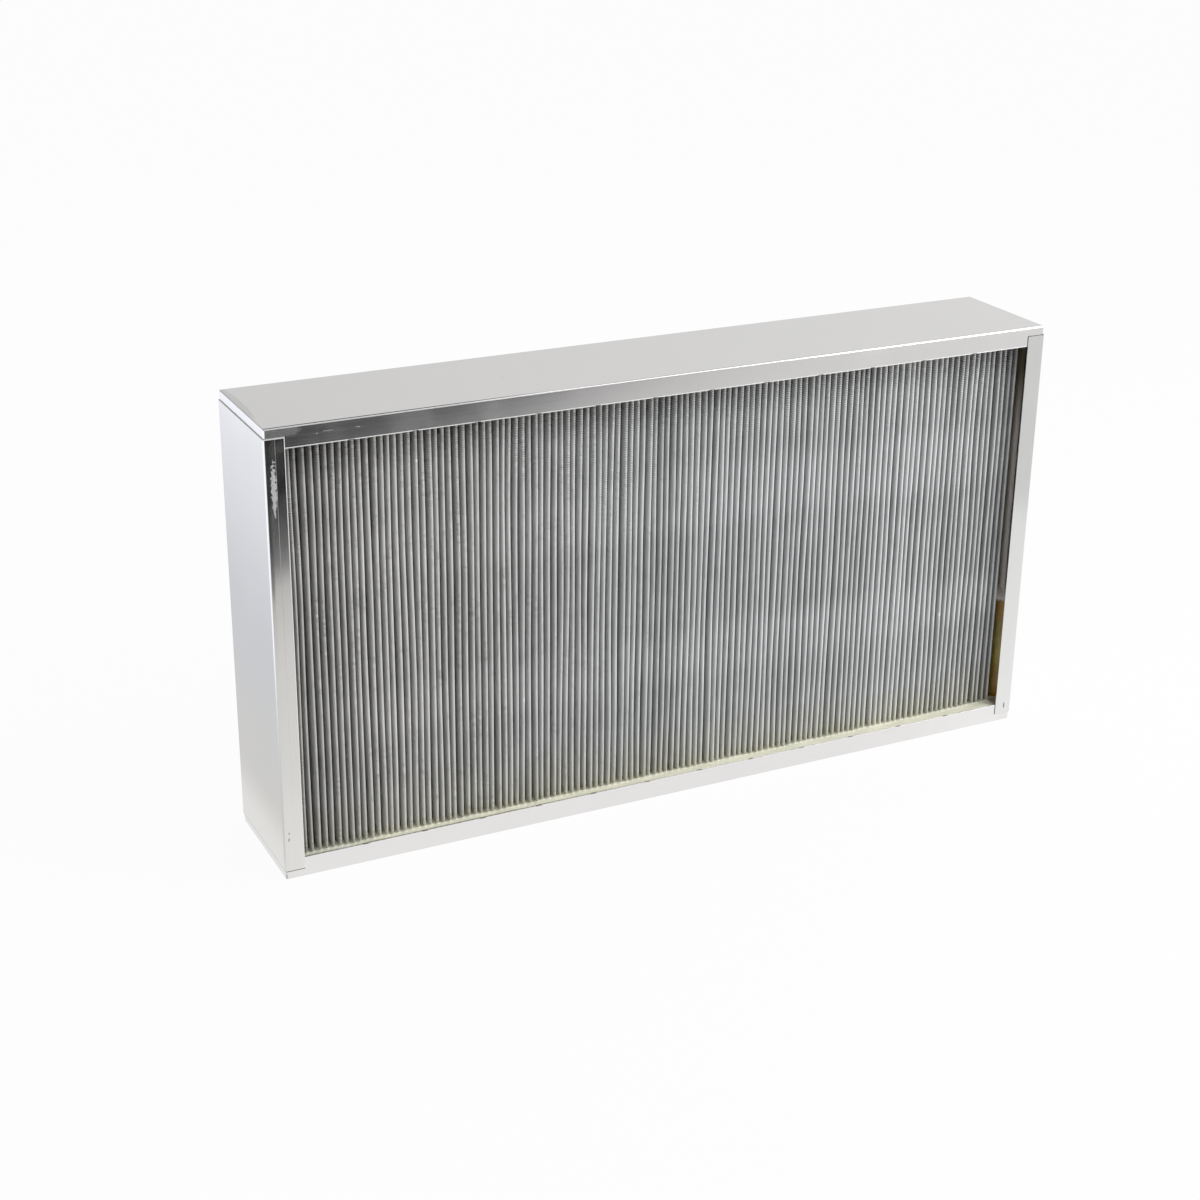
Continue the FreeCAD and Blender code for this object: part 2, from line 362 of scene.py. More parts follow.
def capped_tube(name: str, loops: np.ndarray) -> bpy.types.Object:
    """A closed tube through the given loops, each end closed by a fan about its middle.

    Args:
        name: the object's name.
        loops: its points in millimetres, as rings by points by three.

    Returns:
        The object.
    """
    rings, around, _ = loops.shape
    middles = np.stack([loops[0].mean(0), loops[-1].mean(0)])
    points = np.concatenate([loops.reshape(-1, 3), middles])
    step = np.arange(around)
    after = (step + 1) % around
    last_ring = (rings - 1) * around
    first = np.stack([after, step, np.full(around, rings * around)], -1)
    last = np.stack([last_ring + step, last_ring + after, np.full(around, rings * around + 1)], -1)
    return new_piece(name, points, tube_faces(rings, around), np.concatenate([first, last]))


def unevenness(
    rng: np.random.Generator, along: np.ndarray, up: np.ndarray, short_along: float, short_up: float
) -> np.ndarray:
    """Smooth unevenness over two parameters, about 1 high.

    It is a sum of sine waves. Each runs its own way, no shorter than the two given lengths, from
    its own phase, and the sum is divided by the square root of half the number of waves.

    Args:
        rng: the seeded source of the waves.
        along: the first parameter, of any shape that fits the second.
        up: the second parameter.
        short_along: the shortest wave along the first.
        short_up: the shortest wave along the second.

    Returns:
        The unevenness at each pair of parameters.
    """
    waves = 28
    frequency = rng.uniform(-1.0, 1.0, (waves, 2)) / (short_along, short_up)
    phase = rng.uniform(0.0, 2.0 * np.pi, waves)
    turns = frequency[:, 0, None, None] * along + frequency[:, 1, None, None] * up
    return np.sin(2.0 * np.pi * turns + phase[:, None, None]).sum(0) / math.sqrt(waves / 2)


def dress(piece: bpy.types.Object, material: bpy.types.Material) -> None:
    """Gives a piece its material, on the object and not on its mesh.

    Args:
        piece: the piece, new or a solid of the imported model.
        material: its finish.
    """
    if not piece.material_slots:
        piece.data.materials.append(material)
    for slot in piece.material_slots:
        slot.link = "OBJECT"
        slot.material = material


def box_of(node: str) -> tuple[Vector, Vector]:
    """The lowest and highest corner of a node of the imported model, in millimetres."""
    low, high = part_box(node)
    return low / MM, high / MM


def settle(piece: bpy.types.Object, node: str, material: bpy.types.Material) -> None:
    """Dresses a new piece, lets it stand for its node and reports it.

    Args:
        piece: the new piece.
        node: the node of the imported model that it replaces.
        material: its finish.
    """
    dress(piece, material)
    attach(piece, BODY)
    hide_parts(node)
    faces = np.zeros(len(piece.data.polygons), np.int32)
    piece.data.polygons.foreach_get("loop_total", faces)
    log.info("%s stands for %s with %d triangles", piece.name, node, int((faces - 2).sum()))


def level_square(name: str, side: float, level: float, material: bpy.types.Material) -> bpy.types.Object:
    """A level square of the set.

    Args:
        name: the object's name.
        side: its side in metres.
        level: its height in metres.
        material: its finish.

    Returns:
        The object.
    """
    half = side / 2.0
    corners = ((-half, -half, level), (half, -half, level), (half, half, level), (-half, half, level))
    made = new_piece(name, np.array(corners) / MM, np.array([[0, 1, 2, 3]]))
    dress(made, material)
    return made


class Run(Enum):
    """The way that a piece of sheet was rolled and drawn, as the axis that its lines follow."""

    WIDTH = "X"
    HEIGHT = "Z"


class Face(Enum):
    """Which side of the frame a mark lies on."""

    FRONT = "front"
    TOP = "top"


@dataclass(frozen=True)
class Mark:
    """A patch of wear or dirt, or of painted shade: its middle, its half lengths, its strength and how
    ragged it is.

    On the front, up is Z, and on the top it is Y. A darkened mark is laid in the dark colour.
    """

    x: float
    up: float
    half_x: float
    half_up: float
    strength: float = 1.0
    ragged: float = 1.3
    darkened: bool = False
    face: Face = Face.FRONT


@dataclass(frozen=True)
class Coil:
    """The strip that one channel was folded from: its colour, its gloss and which stretch it shows."""

    run: Run
    seed: float
    colour: Colour
    roughness: float
    streak: float = 0.0


@dataclass(frozen=True)
class SheetFinish:
    """Rolled, satin aluminium sheet with its lines, smudges and marks, a painted highlight on its cut edges
    and painted shade in some of its marks.
    """

    residue_and_shade: Colour = (0.52, 0.52, 0.53)
    grime_and_shade: Colour = (0.10, 0.10, 0.10)
    burr_highlight: Colour = (0.86, 0.86, 0.85)
    line_pitch: float = 0.35
    line_length: float = 160.0
    smudge_size: float = 42.0
    sag_size: float = 90.0
    sag_depth: float = 0.225
    edge_round: float = 0.25
    front_plane: float = 44.0
    top_plane: float = 304.6
    crown_depth: float = 0.06
    crown_width: float = 3.2
    ground: float = 0.94
    line_light: float = 0.05
    smudge_light: float = 0.04
    line_dull: float = 0.05
    haze: Step = Step(0.42, 0.75, 0.05)
    haze_cover: float = 0.6
    residue_and_shade_dull: float = 0.45
    residue_and_shade_cover: float = 0.55
    burr_highlight_dull: float = 0.3
    burr_highlight_cover: float = 0.75
    line_depth: float = 0.001
    outline: Step = Step(1.2, 0.7, 1.0)
    plane_fade: float = 0.2
    streak_least: float = 0.4
    streak_gain: float = 1.2
    ragged_size: Triple = (0.9, 0.9, 1.8)
    streak_size: Triple = (0.5, 1.0, 7.0)

    def lines(self, nodes: Material, run: Run, seed: float) -> Signal:
        """Fine rolling lines along the sheet.

        Args:
            nodes: the material.
            run: the way the lines follow.
            seed: which stretch of the pattern shows.

        Returns:
            A pattern from 0 to 1.
        """
        long, fine = self.line_length, self.line_pitch
        size = (long, fine, fine) if run is Run.WIDTH else (fine, fine, long)
        return nodes.noise(size, seed, 3.0)

    def patch(self, nodes: Material, mark: Mark) -> Signal:
        """One mark: an ellipse about its middle, with an outline that noise makes ragged.

        Args:
            nodes: the material.
            mark: the mark.

        Returns:
            Its mask.
        """
        x, y, z = nodes.axes()
        front = mark.face is Face.FRONT
        up, facing, plane = (z, y * -1.0, self.front_plane) if front else (y, z, self.top_plane)
        ragged = nodes.noise(self.ragged_size, mark.x + mark.up, 5.0) - 0.5
        across = abs(x - mark.x) / mark.half_x
        along = abs(up - mark.up) / mark.half_up
        reach = across * across + along * along + ragged * mark.ragged
        streaks = nodes.noise(self.streak_size, mark.x - mark.up) * self.streak_gain + self.streak_least
        shown = nodes.rise(facing, plane, plane + self.plane_fade) * mark.strength
        return self.outline.on(reach) * shown * streaks

    def patches(self, nodes: Material, marks: tuple[Mark, ...]) -> Signal | float:
        """The given marks as one mask, or 0 where there are none."""
        found = [self.patch(nodes, mark) for mark in marks]
        return reduce(or_, found) if found else 0.0


@dataclass(frozen=True)
class MeshFinish:
    """Filter paper under fine wire mesh: its tones, its wires, stains and lint, with painted highlights and
    shade, and darker towards the left.
    """

    tone: Colour = (0.765, 0.76, 0.742)
    cool: Colour = (0.75, 0.765, 0.765)
    stained: Colour = (0.76, 0.755, 0.62)
    lint: Colour = (0.95, 0.95, 0.95)
    lint_size: float = 1.1
    ground: float = 0.68
    weave_light: float = 0.34
    cloud_light: float = 0.16
    shade_light: float = 0.12
    weft_share: float = 0.85
    cloud_size: Triple = (60.0, 60.0, 26.0)
    wobble_size: Triple = (9.0, 9.0, 30.0)
    flat_size: Triple = (7.0, 7.0, 24.0)
    glint_patch_size: Triple = (6.0, 6.0, 20.0)
    bead_size: Triple = (4.0, 4.0, 1.5)
    dark_and_shade: Step = Step(36.7, 29.5, -0.55)
    wire_pitch: float = 1.6
    wire_wobble: float = 0.9
    wire_depth: float = 0.05
    wire_shape: Step = Step(-0.2, 1.0, 1.0)
    flat_least: float = 0.30
    flat_wires: Step = Step(0.44, 0.62, 0.70)
    gap_dull: float = 0.12
    lightest: float = 1.02
    band_light: float = 0.07
    cool_side: Step = Step(-250.0, 90.0, 1.0)
    cool_drift: float = 60.0
    stain_drift: float = 40.0
    patchy: Step = Step(0.46, 0.60, 1.0)
    ridge_least: float = 0.35
    ridge_light: float = 0.25
    roughness: float = 0.46
    metallic: float = 0.15
    stain_height: Step = Step(62.0, 14.0, 0.6)
    bands: tuple[Stretch, ...] = (Stretch(87.0, 6.0, 20.0, 1.0), Stretch(199.0, 10.0, 20.0, 1.0))
    glare: Step = Step(-250.0, 200.0, 0.05)
    lip_shadow: Step = Step(-30.0, 0.0, -0.34)
    darker_left: Step = Step(60.0, -285.0, -0.20)
    tracts: tuple[Stretch, ...] = (
        Stretch(-262.0, 10.0, 16.0, -0.07),
        Stretch(-205.0, 12.0, 24.0, 0.10),
        Stretch(-9.0, 4.0, 18.0, -0.11),
        Stretch(183.0, 14.0, 22.0, 0.11),
        Stretch(266.0, 10.0, 18.0, -0.10),
    )
    glint_left: Step = Step(120.0, -220.0, 0.65)
    glint_top: Step = Step(-60.0, 0.0, 0.5)

    def wires(self, nodes: Material, along: Signal) -> Signal:
        """Wires across a direction: a smooth step on the cosine of the way, so that the gaps are wide.

        Args:
            nodes: the material.
            along: the distance in millimetres that the wires are spaced over.

        Returns:
            1 on a wire and 0 between two.
        """
        return self.wire_shape.on(nodes.math("COSINE", along * (2.0 * math.pi / self.wire_pitch)))

    def beads(self, nodes: Material, weft: Signal, top: Signal) -> Signal:
        """Painted highlights: beads of light on the ridges of the cross wires, in patches, strongest at the
        left and at the top.

        Args:
            nodes: the material.
            weft: the cross wires.
            top: the height over the pack's upper end.

        Returns:
            What they add to the brightness.
        """
        x, _, _ = nodes.axes()
        patchy = self.patchy.on(nodes.noise(self.glint_patch_size, 17.0))
        ridges = patchy * changed(self.ridge_least, x, self.glint_left) | self.glint_top.on(top)
        light = nodes.noise(self.bead_size, 23.0, 1.0) - 0.5
        return ridges * ((weft - 0.5) * self.ridge_light + light)

    def material(self, low: float, high: float, lint: tuple[Vector, ...]) -> bpy.types.Material:
        """The finish of the pleated sheet.

        Args:
            low: height of the lower resin face in millimetres.
            high: height of the upper one.
            lint: where specks of lint stick.

        Returns:
            The material.
        """
        nodes = Material("wire_faced_paper")
        x, y, z = nodes.axes()
        named = ({"attribute_name": name} for name in ("run", "shade"))
        run, shade = (nodes.get("ShaderNodeAttribute", name, socket="Fac") for name in named)
        wobble = nodes.noise(self.wobble_size, 4.0) * self.wire_wobble
        weft = self.wires(nodes, z + wobble + shade * self.wire_pitch)
        shown = changed(self.flat_least, nodes.noise(self.flat_size, 17.0), self.flat_wires)
        weave = weft * shown * self.weft_share + self.wires(nodes, run) * (1.0 - self.weft_share)
        cloud = nodes.noise(self.cloud_size, 11.0)
        low_band, high_band = (band.on(z - low) for band in self.bands)
        brightness = self.ground + weave * self.weave_light + cloud * self.cloud_light
        brightness = brightness + (shade - 0.5) * self.shade_light
        brightness = brightness + (low_band | high_band) * changed(self.band_light, x, self.glare)
        brightness = changed(brightness, x, *self.tracts)
        # painted shadow of the top rail over the pleats' upper ends
        brightness = changed(brightness, z - high, self.lip_shadow)
        # painted shade deep in the valleys between the folds; the pack is also darker towards the left
        brightness = brightness * changed(1.0, abs(y), self.dark_and_shade) * changed(self.lightest, x, self.darker_left)
        # painted highlights on the wires
        brightness = brightness + self.beads(nodes, weft, z - high)
        tint = nodes.coats(
            self.tone,
            (self.cool_side.on(x + cloud * self.cool_drift), self.cool),
            (self.stain_height.on(z - low + cloud * self.stain_drift), self.stained),
        )
        white = nodes.blend(brightness, BLACK, WHITE)
        product = {"data_type": "RGBA", "blend_type": "MULTIPLY", "clamp_factor": True}
        tint = nodes.get("ShaderNodeMix", product, {"Factor": 1.0, "A": tint, "B": white}, "Result")
        specks = self.specks(nodes, lint)
        return nodes.surface(
            Base_Color=nodes.blend(specks, tint, self.lint),
            Metallic=(1.0 - specks) * self.metallic,
            Roughness=self.roughness + (1.0 - weave) * self.gap_dull,
            Normal=nodes.bump(weave, self.wire_depth),
        )

    def specks(self, nodes: Material, lint: tuple[Vector, ...]) -> Signal:
        """Small round specks.

        Args:
            nodes: the material.
            lint: their middles, in millimetres.

        Returns:
            Their mask.
        """
        place, distance = nodes.place(), {"operation": "DISTANCE"}
        gaps = (nodes.get("ShaderNodeVectorMath", distance, {0: place, 1: at}, "Value") for at in lint)
        return reduce(or_, (nodes.rise(gap, self.lint_size, 0.6 * self.lint_size) for gap in gaps))


@dataclass(frozen=True)
class ResinFinish:
    """Cream casting resin, greyer at the left and dark in the frame's nicks.

    Its greyer left end and the dark in the nicks are painted shade. It parts from the front flange in a
    thin gap that is painted dark at the left as shade, and its right front corner is stained.
    """

    cream: Colour = (0.98, 0.97, 0.80)
    grey: Colour = (0.86, 0.87, 0.74)
    dark: Colour = (0.16, 0.14, 0.07)
    stain: Colour = (0.24, 0.14, 0.16)
    roughness: float = 0.34
    cloud_size: Triple = (55.0, 9.0, 9.0)
    grain_size: Triple = (2.2, 2.2, 2.2)
    pore_size: Triple = (1.1, 1.1, 1.1)
    face_depth: float = 0.18
    grain_dull: float = 0.16
    grain_height: float = 0.5
    pores: Step = Step(0.24, 0.16, 0.6)
    nick_shade_share: float = 0.9
    left_shade_drift: float = 70.0
    left_shade: Step = Step(-165.0, -225.0, 1.0)
    parting: Stretch = Stretch(0.5, 0.5, 0.3, 0.8)
    parting_shade_side: Step = Step(60.0, -160.0, 1.0)
    corner_x: Stretch = Stretch(275.5, 2.5, 2.5, 0.7)
    corner_y: Stretch = Stretch(-38.0, 3.5, 3.0, 1.0)

    def material(self, name: str, rim: "Rim") -> bpy.types.Material:
        """The finish of one casting.

        Args:
            name: the material's name.
            rim: the nicks of the rail that holds the casting.

        Returns:
            The material.
        """
        nodes = Material(name)
        x, y, _ = nodes.axes()
        cloud = nodes.noise(self.cloud_size, 3.0)
        fine = nodes.noise(self.grain_size, 8.0)
        pores = self.pores.on(nodes.noise(self.pore_size, 5.0, 0.0))
        # painted shade in the gap where the resin parts from the flange, at the left
        parting_shade = self.parting.on(y + rim.inside) * self.parting_shade_side.on(x)
        colour = nodes.coats(
            self.cream,
            # painted shade: greyer towards the left end
            (self.left_shade.on(x + cloud * self.left_shade_drift), self.grey),
            (parting_shade, self.dark),
            (self.corner_x.on(x) * self.corner_y.on(y), self.stain),
            # painted shade in the nicks
            (rim.nick_shade_mask(nodes, x, y) * self.nick_shade_share, self.dark),
        )
        return nodes.surface(
            Base_Color=colour,
            Roughness=self.roughness + fine * self.grain_dull,
            Coat_Weight=0.15,
            Coat_Roughness=0.2,
            Subsurface_Weight=0.06,
            Subsurface_Radius=(0.004, 0.003, 0.002),
            Normal=nodes.bump(fine * self.grain_height + cloud - pores, self.face_depth),
        )


@dataclass(frozen=True)
class SealFinish:
    """Amber adhesive: clear brown and olive below, grey-brown above, brown under the top, with painted
    shade towards the pleats.

    clear_height, amber_height and over_ledge are measured up from the ledge of the thick lower
    run, foot from the floor, under_top from the seal's upper end, and the two shades from the
    middle of the panel.
    """

    amber: Colour = (0.60, 0.28, 0.01)
    olive: Colour = (0.60, 0.47, 0.07)
    upper_grey: Colour = (0.95, 0.90, 0.86)
    dark_and_shade: Colour = (0.10, 0.08, 0.02)
    cloud_size: Triple = (5.0, 5.0, 16.0)
    run_depth: float = 0.9
    dull: float = 0.5
    clear_gloss: float = 0.22
    clear_drift: float = 8.0
    clear_height: Step = Step(-4.0, -7.0, 1.0)
    amber_height: Stretch = Stretch(-13.0, 3.0, 12.0, 1.0)
    foot: Step = Step(50.0, 20.0, 1.0)
    under_top: Step = Step(-75.0, -15.0, 0.9)
    cloudy: Step = Step(0.62, 0.36, 0.35)
    low_shade: Step = Step(281.0, 275.3, 0.92)
    high_shade: Step = Step(283.5, 280.8, 0.92)
    over_ledge: Step = Step(-1.0, 6.0, 1.0)

    def material(self, name: str, ledge: float, top: float) -> bpy.types.Material:
        """The finish of one seal.

        Args:
            name: the material's name.
            ledge: height below which the adhesive is thick and clear, in millimetres.
            top: height of the seal's upper end.

        Returns:
            The material.
        """
        nodes = Material(name)
        x, _, z = nodes.axes()
        cloud = nodes.noise(self.cloud_size, 21.0, 3.0)
        from_ledge = z - ledge
        clear = self.clear_height.on(from_ledge + (cloud - 0.5) * self.clear_drift)
        ends = self.amber_height.on(from_ledge) | self.foot.on(z)
        warm = nodes.coats(self.olive, (ends, self.amber), (self.cloudy.on(cloud), self.dark_and_shade))
        brown = nodes.blend(self.under_top.on(z - top), self.upper_grey, self.dark_and_shade)
        # painted shade in the recess, darker towards the last pleat
        inner = self.low_shade.on(abs(x)) * clear
        inner = inner + self.high_shade.on(abs(x)) * self.over_ledge.on(from_ledge)
        return nodes.surface(
            Base_Color=nodes.coats(brown, (clear, warm), (inner, self.dark_and_shade)),
            Roughness=self.dull - clear * self.clear_gloss,
            Coat_Weight=clear * 0.2,
            Coat_Roughness=0.08,
            Specular_IOR_Level=0.3,
            Normal=nodes.bump(cloud, self.run_depth),
        )


@dataclass
class Rim:
    """The free edge of a rail's flanges with its row of shear nicks."""

    first: float = 55.6
    pitch: float = 41.45
    length: float = 4.0
    reach: float = 0.7
    half_width: float = 285.0
    inside: float = 43.8

    def nick_shade_mask(self, nodes: Material, x: Signal, y: Signal) -> Signal:
        """Painted shade where the resin shows through the nicks: a row of short spans along both flanges.

        Args:
            nodes: the material.
            x: the point's place along the panel, in millimetres.
            y: through the panel.

        Returns:
            The mask.
        """
        from_first = x + self.half_width - self.first
        phase = nodes.math("PINGPONG", from_first, self.pitch / 2.0)
        half, last, depth = self.length / 2.0, self.half_width - self.first, self.inside - self.reach
        row = nodes.rise(abs(phase), half + 0.2, half - 0.4)
        ends = nodes.rise(abs(x), last + 3.0, last + 2.5)
        return row * ends * nodes.rise(abs(y), depth, depth + 0.1)


@dataclass
class SheetFrame:
    """The four folded channels: two rails along the width and two uprights that lap over them."""

    finish: SheetFinish
    half_width: float = 285.0
    height: float = 305.0
    upright_flange: float = 13.5
    setback: float = 6.4
    rail_flange: float = 13.8
    seam: float = 0.35
    seam_fade: float = 0.15
    seam_shade_cover: float = 0.85
    seam_dull: float = 0.4
    low_seam: float = 1.4
    low_faint: float = 0.93
    high_share: float = 0.7
    seam_breaks: Step = Step(0.44, 0.56, 1.0)
    scored: float = 7.3
    scored_dull: float = 0.2
    cut_shade_cover: float = 0.9
    cut_dull: float = 0.5
    rail_edge: float = 0.45
    upright_edge: float = 0.4
    edge_fade: float = 0.25
    low_edge: float = 0.35
    to_left: Step = Step(60.0, -60.0, 1.0)
    to_right: Step = Step(-60.0, 60.0, 1.0)
    high_edge: Step = Step(100.0, 200.0, 0.65)

    def left_marks(self) -> tuple[Mark, ...]:
        """Residue and scuffs on the left upright's front flange.

        Returns:
            The marks.
        """
        left = -self.half_width
        top = self.height
        return (
            Mark(left + 5.6, top - 36.0, 1.7, 13.0, 0.85, 6.0),
            Mark(left + 5.2, top - 48.0, 1.1, 8.0, 0.6, 6.0),
            Mark(left + 10.0, top - 12.0, 2.6, 4.0, 0.06, 5.0),
            Mark(left + 6.0, top - 14.0, 2.4, 6.0, 0.05, 6.0),
            Mark(left + 3.4, top - 60.0, 1.6, 14.0, 0.04, 5.0),
            Mark(left + 3.8, top - 271.5, 0.5, 0.8, 0.5, darkened=True),
            Mark(left + 3.6, top - 276.0, 0.6, 1.4, 0.5, darkened=True),
        )

    def top_marks(self) -> tuple[Mark, ...]:
        """Scuffs along the upper rail's front flange and a small dark mark on its web, with painted shade
        on the strip above the left upright and along the web's front fold, and a painted reflection along
        the web's left end.

        Returns:
            The marks.
        """
        left = -self.half_width
        high = self.height - 6.5
        return (
            Mark(left + 41.0, high + 0.6, 3.4, 0.22, 0.24, 0.6),
            Mark(left + 34.0, high - 0.4, 0.7, 0.4, 0.2, 0.6),
            Mark(left + 60.0, high + 0.4, 2.0, 0.25, 0.2, 0.6),
            Mark(left + 20.0, high + 1.0, 1.6, 0.25, 0.16, 0.6),
            # painted shade on the strip above the left upright
            Mark(left + 8.0, high + 3.5, 16.0, 3.6, 0.12, 1.6),
            # painted reflection: a dark band along the left end of the web
            Mark(left + 2.0, 12.0, 3.6, 34.0, 0.16, 2.4, darkened=True, face=Face.TOP),
            # painted shade along the front fold of the web
            Mark(left + 60.0, -43.6, 125.0, 0.5, 0.85, 0.3, darkened=True, face=Face.TOP),
            Mark(left + 173.0, -3.5, 0.6, 0.6, 0.5, darkened=True, face=Face.TOP),
            # painted shade along the front fold of the web
            Mark(100.0, -43.9, 190.0, 0.45, 0.5, 0.3, darkened=True, face=Face.TOP),
        )

    def bottom_marks(self) -> tuple[Mark, ...]:
        """A dark nick at the lower rail's left corner."""
        return (Mark(0.9 - self.half_width, 2.4, 0.5, 2.4, 0.9, darkened=True),)

    def right_marks(self) -> tuple[Mark, ...]:
        """A short scratch low on the right upright's front flange."""
        return (Mark(self.half_width - 6.0, 12.5, 0.5, 2.4, 0.9, 0.8, darkened=True),)

    def seam_shade_mask(self, nodes: Material, x: Signal, z: Signal) -> Signal:
        """Painted shade in the gap along the edge of an upright where it lies on a rail.

        Args:
            nodes: the material.
            x: the point's place along the panel, in millimetres.
            z: up the panel.

        Returns:
            The mask: an upright line at the right flange's edge, and a level one at each square
            end, clear at the lower left and the upper left, broken at the upper right and faint
            at the lower right.
        """
        from_middle = abs(x)
        edge = self.half_width - self.upright_flange
        from_end = self.height / 2.0 - abs(z - self.height / 2.0)
        right = self.to_right.on(x)
        upright = nodes.line(from_middle, edge, self.seam, self.seam_fade) * right
        upright = upright * nodes.rise(from_end, self.setback - 0.4, self.setback)
        low = nodes.line(z, self.setback - self.seam, self.low_seam * self.seam, self.seam_fade)
        low = low * (1.0 - right * self.low_faint)
        patchy = self.seam_breaks.on(nodes.noise((3.0, 3.0, 3.0), 41.0))
        high = nodes.line(z, self.height - self.setback, self.seam, self.seam_fade)
        high = high * self.high_share * (1.0 - right + right * patchy)
        return upright | ((low | high) * nodes.rise(from_middle, edge - 0.4, edge))

    def burr_highlight_mask(self, nodes: Material, run: Run, x: Signal, z: Signal) -> Signal:
        """The bright, matte line that shearing leaves along the free edge of a flange.

        It is also a painted highlight. It is fainter on the lower rail, and shows on the left upright only.

        Args:
            nodes: the material.
            run: the way the sheet was rolled, which tells a rail from an upright.
            x: the point's place along the panel, in millimetres.
            z: up the panel.

        Returns:
            The mask.
        """
        from_end = self.height / 2.0 - abs(z - self.height / 2.0)
        if run is Run.WIDTH:
            edge = nodes.line(from_end, self.rail_flange, self.rail_edge, self.edge_fade)
            return edge * changed(self.low_edge, z, self.high_edge)
        inner = self.half_width - self.upright_flange
        edge = nodes.line(abs(x), inner, self.upright_edge, self.edge_fade)
        end = nodes.line(from_end, self.setback, self.upright_edge, self.edge_fade)
        return (edge | end) * self.to_left.on(x)

    def crown(self, nodes: Material, x: Signal) -> Signal:
        """How the left flange falls away towards its outer fold: the square of the way to it.

        Args:
            nodes: the material.
            x: the point's place along the panel, in millimetres.

        Returns:
            The height, from 1 on the flat to 0 at the fold.
        """
        fold = self.half_width - 1.0
        near = nodes.rise(abs(x), fold - self.finish.crown_width, fold)
        return 1.0 - near * near * self.to_left.on(x)

    def material(self, name: str, coil: Coil, marks: tuple[Mark, ...]) -> bpy.types.Material:
        """The finish of one channel.

        Args:
            name: the material's name.
            coil: the strip that it was folded from.
            marks: its marks of wear and dirt, and of painted shade and reflection.

        Returns:
            The material.
        """
        finish = self.finish
        nodes = Material(name)
        x, _, z = nodes.axes()
        lines = finish.lines(nodes, coil.run, coil.seed)
        smudge = nodes.noise((finish.smudge_size,) * 3, coil.seed + 9.0, 4.0)
        sag = nodes.noise((finish.sag_size,) * 3, coil.seed + 31.0, 0.0)
        # light marks of wear and darkened marks of dirt; on the upper rail some are painted shade and
        # reflection
        residue_and_shade = finish.patches(nodes, tuple(mark for mark in marks if not mark.darkened))
        soil_and_shade = finish.patches(nodes, tuple(mark for mark in marks if mark.darkened))
        # painted highlight along the cut edges, over a real burr line
        burr_highlight = self.burr_highlight_mask(nodes, coil.run, x, z)
        haze = finish.haze.on(smudge)
        grey = nodes.coats(
            BLACK,
            (finish.ground + lines * finish.line_light + smudge * finish.smudge_light, coil.colour),
            (residue_and_shade, finish.residue_and_shade),
            (soil_and_shade, finish.grime_and_shade),
            (burr_highlight, finish.burr_highlight),
        )
        roughness = coil.roughness + lines * (finish.line_dull + coil.streak) + haze
        roughness = roughness + residue_and_shade * finish.residue_and_shade_dull + burr_highlight * finish.burr_highlight_dull
        rounded = nodes.get("ShaderNodeBevel", {"samples": 6}, {"Radius": finish.edge_round * MM})
        if coil.run is Run.WIDTH:
            # painted shade in the seam gaps where the uprights lap the rails
            gap = self.seam_shade_mask(nodes, x, z)
            grey = nodes.blend(gap * self.seam_shade_cover, grey, finish.grime_and_shade)
            roughness = roughness + gap * self.seam_dull
            shaped = rounded
        else:
            scored = nodes.line(x, self.scored - self.half_width, 0.1, 0.12)
            # painted shade along the right upright's upper end, beside the seam
            end = self.height - self.setback
            cut = nodes.rise(z, end - 0.5, end - 0.1) * self.to_right.on(x)
            grey = nodes.blend(cut * self.cut_shade_cover, grey, finish.grime_and_shade)
            roughness = roughness + scored * self.scored_dull + cut * self.cut_dull
            shaped = nodes.bump(self.crown(nodes, x), finish.crown_depth, rounded)
        shaped = nodes.bump(sag, finish.sag_depth, shaped)
        bare = 1.0 - residue_and_shade * finish.residue_and_shade_cover - burr_highlight * finish.burr_highlight_cover
        return nodes.surface(
            Base_Color=grey,
            Metallic=bare - haze * finish.haze_cover,
            Roughness=roughness,
            Normal=nodes.bump(lines, finish.line_depth, shaped),
        )

    def build(self) -> None:
        """Dresses the four channels."""
        rail = (0.84, 0.828, 0.822)
        channels = {
            "top_channel": (Coil(Run.WIDTH, 1.0, rail, 0.11, 0.07), self.top_marks()),
            "bottom_channel": (Coil(Run.WIDTH, 2.0, rail, 0.13), self.bottom_marks()),
            "left_channel": (Coil(Run.HEIGHT, 3.0, (0.80, 0.79, 0.765), 0.06), self.left_marks()),
            "right_channel": (Coil(Run.HEIGHT, 4.0, (0.80, 0.805, 0.79), 0.09), self.right_marks()),
        }
        for node, (coil, marks) in channels.items():
            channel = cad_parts[node]
            dress(channel, self.material(node + "_sheet", coil, marks))
            log.info("%s is dressed as rolled sheet", node)


